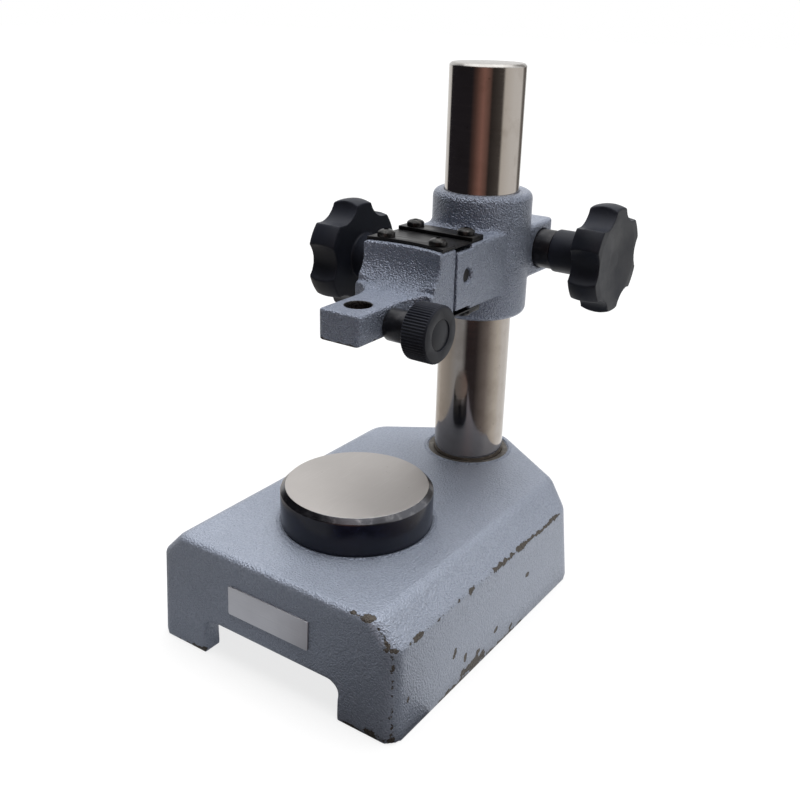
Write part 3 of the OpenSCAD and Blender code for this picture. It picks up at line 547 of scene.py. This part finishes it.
# near-black side of the anvil, and the grey glint of its bevel
anvil_black = rubbed_metal("black_oxide_anvil", "#0A0F22", "#121A34", 0.22, 0.0)
anvil_rim = rubbed_metal("rubbed_anvil_rim", "#5E5F64", "#88888C", 0.24, 1.0)
# dull black leaves and strips, and their screws, worn grey
spring_black = rubbed_metal("blued_spring_steel", "#121214", "#2B2A2A", 0.4, 0.4)
screw_black = rubbed_metal("worn_screw_steel", "#1C1C1D", "#6A6866", 0.32, 0.5)
# brown-grey iron of the seat round the column
seat_iron = rubbed_metal("oily_seat_iron", "#57534E", "#88837C", 0.5, 0.3)
phenolic = black_phenolic()
bronze = bush_bronze()

# Castings
for node, name, body, enamel, voxel, passes in (
        ("base_casting", "base_shell", "base", enamel_base, 0.9, 3),
        ("bracket_casting", "bracket_body", "bracket", enamel_darker_shade, 0.5, 7),
        ("holder_casting", "holder_body", "holder", enamel_darker_shade, 0.42, 8)):
    casting = moulded(node, name, voxel, passes)
    dress(casting, enamel)
    stand_for(casting, body, "enamel", node)

# Star knobs
for node, name in (("clamp_knob", "clamp_star_knob"), ("fine_knob", "fine_star_knob")):
    knob = moulded(node, name, 0.36, 6)
    dress(knob, phenolic)
    stand_for(knob, node, "black_plastic", node)

# Anvil
anvil_rings = [(ANVIL_R - 0.4, BASE_TOP), (ANVIL_R, BASE_TOP + 0.4), (ANVIL_R, ANVIL_TOP - 2.15),
               (ANVIL_R - 0.08, ANVIL_TOP - 1.95), (ANVIL_R - 0.25, ANVIL_TOP - 1.75),
               (ANVIL_R - 1.75, ANVIL_TOP - 0.25), (ANVIL_R - 1.9, ANVIL_TOP - 0.08),
               (ANVIL_R - 2.15, ANVIL_TOP)]
anvil = turned("anvil_block", anvil_rings, TURNED_SEGMENTS)
settle(anvil, (0, 0, 0))
dress(anvil, anvil_black, lapped, anvil_rim)
for face in anvil.data.polygons:
    if face.normal.z > 0.9:
        face.material_index = 1
    elif face.normal.z > 0.2:
        face.material_index = 2
stand_for(anvil, "base", "anvil_steel", "anvil")

# Column
column_rings = [(COLUMN_R, COLUMN_FOOT), (COLUMN_R, COLUMN_TOP - 1.2), (COLUMN_R - 0.06, COLUMN_TOP - 1.0),
                (COLUMN_R - 0.2, COLUMN_TOP - 0.8), (COLUMN_R - 0.85, COLUMN_TOP - 0.15),
                (COLUMN_R - 1.0, COLUMN_TOP - 0.05), (COLUMN_R - 1.2, COLUMN_TOP)]
post = turned("column_post", column_rings, TURNED_SEGMENTS)
settle(post, (0, COLUMN_Y, 0))
dress(post, polished, faced)
for face in post.data.polygons:
    if face.normal.z > 0.2:
        face.material_index = 1
stand_for(post, "column", "column_steel", "column")

# Bare seat round the column's foot, and the beads of paint round the two seats
for name, profile, centre, material in (  # heights above the top of the base
        ("column_seat", [(COLUMN_R + 0.12, -1.4), (COLUMN_R + 0.12, -0.3), (COLUMN_R + 0.3, -0.15),
                         (SOCKET_R, -0.15), (SOCKET_R, -1.4)], COLUMN_Y, seat_iron),
        ("socket_paint_bead", [(SOCKET_R - 0.1, -0.6), (SOCKET_R, 0.2), (SOCKET_R + 0.4, 0.5),
                               (SOCKET_R + 1.0, 0.4), (SOCKET_R + 1.8, -0.05), (SOCKET_R + 1.8, -0.6)],
         COLUMN_Y, enamel_darker_shade),
        ("anvil_paint_bead", [(ANVIL_R + 0.2, -0.4), (ANVIL_R + 0.2, 0.2), (ANVIL_R + 0.6, 0.45),
                              (ANVIL_R + 1.2, 0.35), (ANVIL_R + 2.0, -0.05), (ANVIL_R + 2.0, -0.4)],
         0, enamel_darker_shade)):
    piece = ring(name, [(radius, BASE_TOP + above) for radius, above in profile], centre)
    dress(piece, material)
    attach(piece, "base")

# Leaf springs between the bracket and the holder, cut across their free length
for node, name in (("top_leaf", "top_spring_leaf"), ("bottom_leaf", "bottom_spring_leaf")):
    leaf = merged_copy(node, name)
    bpy.ops.object.mode_set(mode="EDIT")
    for cut in range(LEAF_CUTS):
        at = LEAF_FREE_BACK + (LEAF_FREE_FRONT - LEAF_FREE_BACK) * cut / (LEAF_CUTS - 1)
        bpy.ops.mesh.select_all(action="SELECT")
        bpy.ops.mesh.bisect(plane_co=(0, mm(at), 0), plane_no=(0, 1, 0))
    bpy.ops.object.mode_set(mode="OBJECT")
    dress(leaf, spring_black)
    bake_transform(leaf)
    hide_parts(node)

# Leaf screws
leaf_screw = button_screw()
for owner, screw_y in (("bracket", BRACKET_SCREW_Y), ("holder", HOLDER_SCREW_Y)):
    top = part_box(owner + "_top_strip")[1][2] * 1000
    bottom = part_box(owner + "_bottom_strip")[0][2] * 1000
    seats = [((side * LEAF_SCREW_X, screw_y, z), flipped)
             for z, flipped in ((top, False), (bottom, True)) for side in (-1, 1)]
    row = screw_row(owner + "_button_screws", seats)
    dress(row, screw_black)
    stand_for(row, owner, "black_steel", owner + "_leaf_screws")
bpy.data.objects.remove(leaf_screw)

# Machined pieces
for node, body, material, slot, width in (
        ("clamp_collar", "clamp_collar", oxide, "black_steel", 0.5),
        ("left_cotter", "bracket", oxide, "black_steel", 0.4),
        ("gauge_cotter", "gauge_cotter", oxide, "black_steel", 0.4),
        ("gauge_nut", "holder", oxide, "black_steel", 0.3),
        ("bracket_top_strip", "bracket", spring_black, "black_steel", 0.2),
        ("bracket_bottom_strip", "bracket", spring_black, "black_steel", 0.2),
        ("holder_top_strip", "holder", spring_black, "black_steel", 0.15),
        ("holder_bottom_strip", "holder", spring_black, "black_steel", 0.15),
        ("gauge_knob", "gauge_knob", phenolic, "black_plastic", 0.12),
        ("gauge_knob_cap", "gauge_knob", phenolic, "black_plastic", 0.15),
        ("name_plate", "base", plate_metal, "plate", 0.12),
        ("anvil_screw", "base", oxide, "black_steel", 0.3),
        ("anvil_washer", "base", oxide, "black_steel", 0.2),
        ("column_bolt", "column", oxide, "black_steel", 0.4),
        ("column_washer", "column", oxide, "black_steel", 0.3),
        ("fine_bush", "bracket", bronze, "bronze", 0.2)):
    piece = machined(node, node + "_finished", width)
    dress(piece, material)
    stand_for(piece, body, slot, node)
for node in ("clamp_screw", "gauge_screw", "fine_shaft", "fine_set_screw"):
    dress(nodes[node], spring_black)


def seen_or_mirrored(tree):
    """1 for rays that show the stage to the eye or in gloss, and 0 for those that light the stand."""
    path = add(tree, "ShaderNodeLightPath")
    seen = add(tree, "ShaderNodeMath", {0: path.outputs["Is Camera Ray"], 1: path.outputs["Is Glossy Ray"]},
               operation="MAXIMUM")
    return add(tree, "ShaderNodeMath", {0: seen.outputs[0], 1: path.outputs["Is Transmission Ray"]},
               operation="MAXIMUM")


# Floor: pale and matt, lifted to white where it is seen or mirrored, so that only the soft shadow shows
deselect_all()
bpy.ops.mesh.primitive_plane_add(size=12, location=(0, 0, mm(-0.1)))
floor = bpy.context.object
floor.name = "studio_floor"
material, tree = new_material("studio_floor")
seen = seen_or_mirrored(tree)
lift = add(tree, "ShaderNodeMath", {0: seen.outputs[0], 1: 0.78}, operation="MULTIPLY")
matt = add(tree, "ShaderNodeBsdfDiffuse", {"Color": (0.25, 0.25, 0.25, 1)})
glow = add(tree, "ShaderNodeEmission", {"Color": (1, 1, 1, 1), "Strength": lift.outputs[0]})
both = add(tree, "ShaderNodeAddShader", {0: matt.outputs[0], 1: glow.outputs[0]})
finish_material(tree, both)
dress(floor, material)

# Sky: white where it is seen or mirrored, and a low even fill for the shading
world = bpy.data.worlds.new("studio_world")
bpy.context.scene.world = world
world.use_nodes = True
tree = world.node_tree
tree.nodes.clear()
seen = seen_or_mirrored(tree)
strength = add(tree, "ShaderNodeMapRange", {"Value": seen.outputs[0], "To Min": 0.09, "To Max": 1.0})
sky = add(tree, "ShaderNodeBackground", {"Color": (1, 1, 1, 1), "Strength": strength.outputs["Result"]})
add(tree, "ShaderNodeOutputWorld", {"Surface": sky.outputs[0]})

# Key light: one broad soft source overhead, a little behind
deselect_all()
bpy.ops.object.light_add(type="SUN", location=(0.0, 0.2, 1.0))
key = bpy.context.object
key.name = "key_light"
key.data.energy = 3.8
key.data.angle = math.radians(60)
key.rotation_euler = Vector((0.0, -0.2, -1.0)).to_track_quat("-Z", "Y").to_euler()
key.visible_glossy = False

# Light that comes back off the bench on the right
deselect_all()
bpy.ops.object.light_add(type="AREA", location=(0.122, 0.045, mm(2)))
bounce = bpy.context.object
bounce.name = "bench_bounce"
bounce.data.shape = "RECTANGLE"
bounce.data.size = 0.12
bounce.data.size_y = 0.24
bounce.data.energy = 0.06
bounce.rotation_euler = (math.pi, 0, 0)
bounce.visible_camera = False
bounce.visible_glossy = False


def room_card(card, name, strength, stops):
    """A card of the room round the stand, seen only in its gloss: colours by the angle round the column."""
    card.name = name
    bpy.ops.object.transform_apply()
    material, tree = new_material(name)
    place = add(tree, "ShaderNodeTexCoord").outputs["Object"]
    centred = add(tree, "ShaderNodeVectorMath", {0: place, 1: (0, mm(COLUMN_Y), 0)}, operation="SUBTRACT")
    angle = add(tree, "ShaderNodeTexGradient", {"Vector": centred.outputs[0]}, gradient_type="RADIAL")
    ramp = add(tree, "ShaderNodeValToRGB", {"Fac": angle.outputs["Fac"]})
    marks = ramp.color_ramp.elements
    while len(marks) < len(stops):
        marks.new(0.5)
    for mark, (degrees, colour) in zip(marks, stops):
        mark.position = degrees / 360.0 + 0.5
        mark.color = rgb(colour)
    glow = add(tree, "ShaderNodeEmission", {"Color": ramp.outputs["Color"], "Strength": strength})
    finish_material(tree, glow)
    dress(card, material)
    card.visible_camera = False
    card.visible_diffuse = False
    card.visible_shadow = False
    card.visible_transmission = False


# Walls of the room: dark in front with a brown stripe, white behind and to the right, with a grey band
deselect_all()
bpy.ops.mesh.primitive_cylinder_add(vertices=180, radius=0.9, depth=1.6, end_fill_type="NOTHING",
                                    location=(0, mm(COLUMN_Y), 0.8))
room_card(bpy.context.object, "room_walls", 1.0, [
    (-180, "#2C2A30"), (-104, "#2A282D"), (-90, "#5E4843"), (-68, "#A67C72"), (-50, "#7A5F58"),
    (-44, "#3A3635"), (-11, "#5C5755"), (-5, "#EDEAE6"), (30, "#FFFFFF"), (64, "#FFFFFF"),
    (72, "#8A8683"), (90, "#6A6663"), (98, "#FFFFFF"), (168, "#FFFFFF"), (173, "#2C2A30")])

# Table top round the stand: dark in front, white behind
room_card(ring("table_top", [(125, 0.3), (900, 0.3), (900, 0.2), (125, 0.2)], COLUMN_Y), "table_top", 1.0, [
    (-180, "#D2CCC6"), (-136, "#B0ACA8"), (-112, "#B0B2B6"), (-94, "#ACAEB2"), (-80, "#353033"),
    (-50, "#3B3638"), (-16, "#8B8482"), (20, "#E6E2DC"), (46, "#FFFFFF"), (144, "#FFFFFF"),
    (166, "#E0DCD6")])

# Bright ceiling, for the glints on the enamel
deselect_all()
bpy.ops.mesh.primitive_circle_add(vertices=90, radius=1.0, fill_type="NGON",
                                  location=(0, mm(COLUMN_Y), 1.25))
room_card(bpy.context.object, "room_ceiling", 1.9, [(-180, "#FFFFFF"), (179, "#FFFFFF")])

# Camera: matched to the photograph, 43.7 mm on a 36 mm sensor, rolled 1.4 degrees
camera_data = bpy.data.cameras.new("photo_camera")
camera_data.sensor_width = SENSOR_MM
camera_data.lens = FOCAL_PX / PICTURE_PX * SENSOR_MM
camera_data.clip_start = 0.01
camera = bpy.data.objects.new("photo_camera", camera_data)
bpy.context.scene.collection.objects.link(camera)
back = Vector((math.sin(AZIMUTH) * math.cos(ELEVATION), -math.cos(AZIMUTH) * math.cos(ELEVATION),
               math.sin(ELEVATION)))
level_right = Vector((math.cos(AZIMUTH), math.sin(AZIMUTH), 0.0))
level_up = back.cross(level_right)
right = level_right * math.cos(ROLL) + level_up * math.sin(ROLL)
up = level_up * math.cos(ROLL) - level_right * math.sin(ROLL)
turn = Matrix((right, up, back)).transposed().to_4x4()
camera.matrix_world = Matrix.Translation(CAMERA_AT) @ turn
bpy.context.scene.camera = camera
bpy.context.scene.view_settings.view_transform = "Standard"
